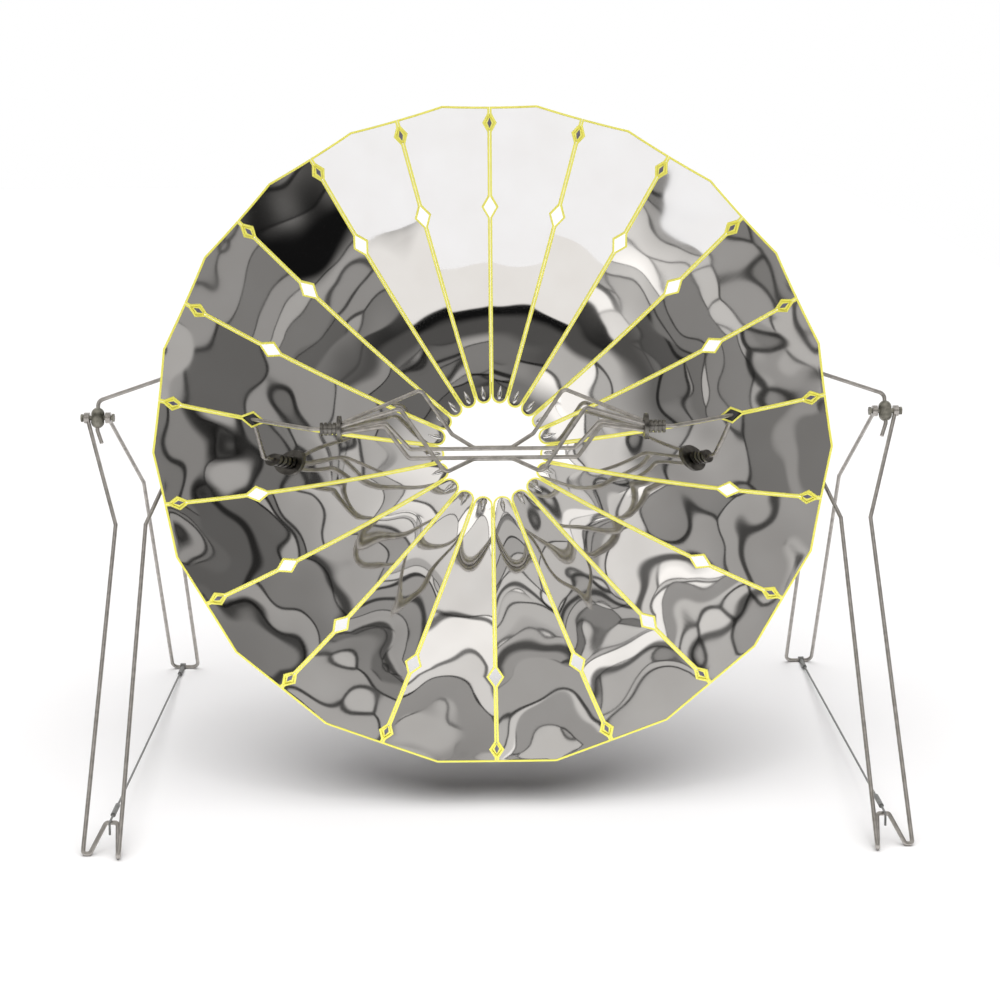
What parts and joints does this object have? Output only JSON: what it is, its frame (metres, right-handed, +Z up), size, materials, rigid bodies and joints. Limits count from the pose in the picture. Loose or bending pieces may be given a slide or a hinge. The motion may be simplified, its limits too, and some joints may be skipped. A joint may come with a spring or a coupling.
{
  "type": "parabolic solar cooker",
  "caption": "Folding parabolic solar cooker: a fan of mirror petals with yellow edges on bent wire side stands, with a hanging wire pot cradle at its focus.",
  "frame": {"origin": "on the ground, in the middle of the footprint", "axes": "+X along the tilt axis to the viewer's right when facing the mirror, +Y away from the viewer of the mirror, +Z up"},
  "size_m": [0.821, 0.4893, 0.6343],
  "materials": {
    "yellow_blade": "matt lemon-yellow sheet",
    "mirror_face": "polished mirror sheet",
    "steel_wire": "drawn steel wire, dull grey-brown",
    "olive_knuckle": "dark olive paint",
    "dark_steel": "dark, half matt",
    "black_plastic": "black, matt"
  },
  "bodies": {
    "dish": {"petal_1": "yellow_blade", "petal_2": "yellow_blade", "petal_3": "yellow_blade", "petal_4": "yellow_blade", "petal_5": "yellow_blade", "petal_6": "yellow_blade", "petal_7": "yellow_blade", "petal_8": "yellow_blade", "petal_9": "yellow_blade", "petal_10": "yellow_blade", "petal_11": "yellow_blade", "petal_12": "yellow_blade", "petal_13": "yellow_blade", "petal_14": "yellow_blade", "petal_15": "yellow_blade", "petal_16": "yellow_blade", "petal_17": "yellow_blade", "petal_18": "yellow_blade", "petal_19": "yellow_blade", "petal_20": "yellow_blade", "mirror_1": "mirror_face", "mirror_2": "mirror_face", "mirror_3": "mirror_face", "mirror_4": "mirror_face", "mirror_5": "mirror_face", "mirror_6": "mirror_face", "mirror_7": "mirror_face", "mirror_8": "mirror_face", "mirror_9": "mirror_face", "mirror_10": "mirror_face", "mirror_11": "mirror_face", "mirror_12": "mirror_face", "mirror_13": "mirror_face", "mirror_14": "mirror_face", "mirror_15": "mirror_face", "mirror_16": "mirror_face", "mirror_17": "mirror_face", "mirror_18": "mirror_face", "mirror_19": "mirror_face", "mirror_20": "mirror_face", "hub_ring": "steel_wire", "tip_rivets": "steel_wire", "rim_clips": "yellow_blade", "left_arm": "steel_wire", "right_arm": "steel_wire", "left_knuckle": "olive_knuckle", "right_knuckle": "olive_knuckle", "left_grommet": "black_plastic", "right_grommet": "black_plastic"},
    "left_front_stand": {"left_front_leg": "steel_wire"},
    "left_rear_stand": {"left_rear_leg": "steel_wire"},
    "left_tie_rod": {"left_tie": "black_plastic"},
    "right_front_stand": {"right_front_leg": "steel_wire"},
    "right_rear_stand": {"right_rear_leg": "steel_wire"},
    "right_tie_rod": {"right_tie": "black_plastic"},
    "cradle": {"cradle_bars": "steel_wire", "cradle_front_bow": "steel_wire", "cradle_rear_bow": "steel_wire", "left_swivel": "dark_steel", "right_swivel": "dark_steel"}
  },
  "joints": [
    {"name": "left_tilt", "type": "hinge", "parent": "dish", "child": "left_front_stand", "pos_m": [-0.34, 0.05253, 0.337], "axis": [1, 0, 0], "range_deg": [0, 55]},
    {"name": "left_fold", "type": "hinge", "parent": "left_front_stand", "child": "left_rear_stand", "pos_m": [-0.34, 0.05253, 0.337], "axis": [1, 0, 0], "range_deg": [-62, 0]},
    {"name": "left_tie_swing", "type": "hinge", "parent": "left_rear_stand", "child": "left_tie_rod", "pos_m": [-0.3554, 0.24056, 0.002], "axis": [1, 0, 0], "range_deg": [-45, 0]},
    {"name": "right_tilt", "type": "hinge", "parent": "dish", "child": "right_front_stand", "pos_m": [0.34, 0.05253, 0.337], "axis": [1, 0, 0], "range_deg": [0, 55]},
    {"name": "right_fold", "type": "hinge", "parent": "right_front_stand", "child": "right_rear_stand", "pos_m": [0.34, 0.05253, 0.337], "axis": [1, 0, 0], "range_deg": [-62, 0]},
    {"name": "right_tie_swing", "type": "hinge", "parent": "right_rear_stand", "child": "right_tie_rod", "pos_m": [0.3554, 0.24056, 0.002], "axis": [1, 0, 0], "range_deg": [-45, 0]},
    {"name": "cradle_swing", "type": "hinge", "parent": "dish", "child": "cradle", "pos_m": [0, 0.03175, 0.32822], "axis": [1, 0, 0], "range_deg": [-10, 60]}
  ],
  "couplings": [
    {"joint": "right_tilt", "follows": "left_tilt", "ratio": 1}
  ]
}
